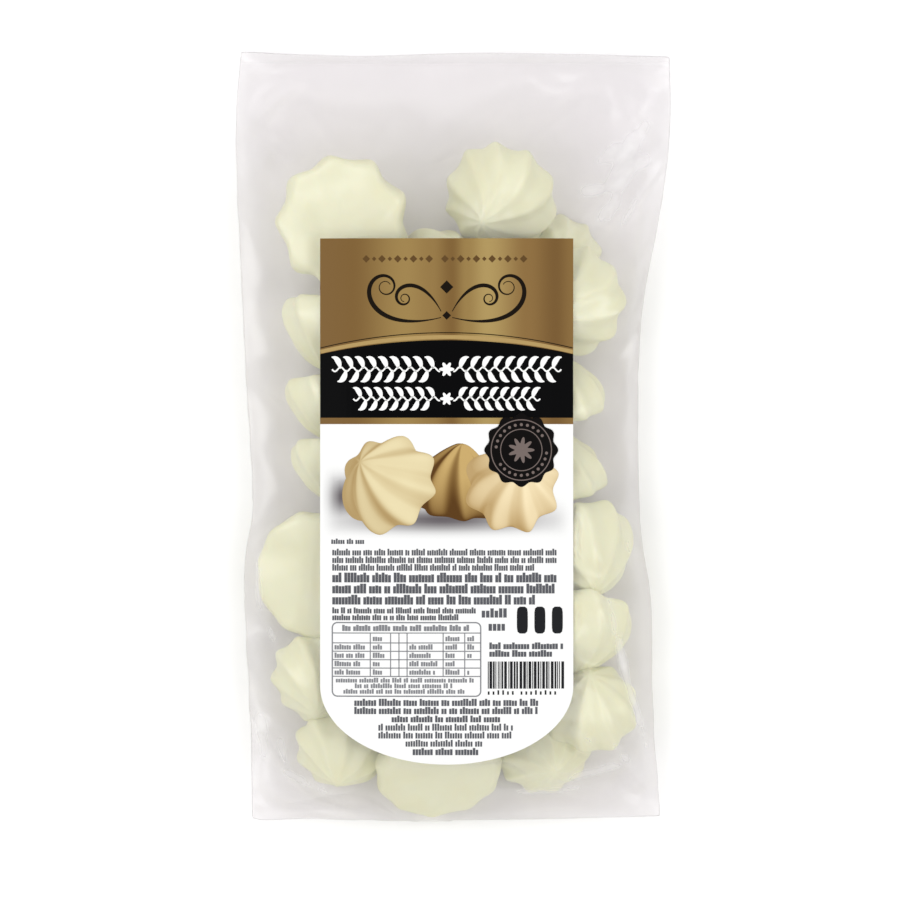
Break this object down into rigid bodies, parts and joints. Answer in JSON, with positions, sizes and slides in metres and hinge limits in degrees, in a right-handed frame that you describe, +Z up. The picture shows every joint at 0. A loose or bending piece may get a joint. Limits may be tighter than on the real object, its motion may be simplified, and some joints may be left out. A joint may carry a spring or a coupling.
{
  "type": "bag of meringue cookies",
  "caption": "Sealed clear film bag packed with pale piped meringue cookies, lying flat, with a long front label and an empty header.",
  "frame": {"origin": "under the middle of the bag, on the surface it lies on", "axes": "+X across the label to the right, +Y along the bag to its empty header, +Z up out of the label"},
  "size_m": [0.1723, 0.304, 0.0448],
  "materials": {
    "film": "clear, slightly milky packaging film with soft creases",
    "label_print": "smooth printed white label with a gold and a black field",
    "meringue": "pale cream coating, satin"
  },
  "bodies": {
    "root": {"bag": "film", "label": "label_print"}
  },
  "joints": []
}
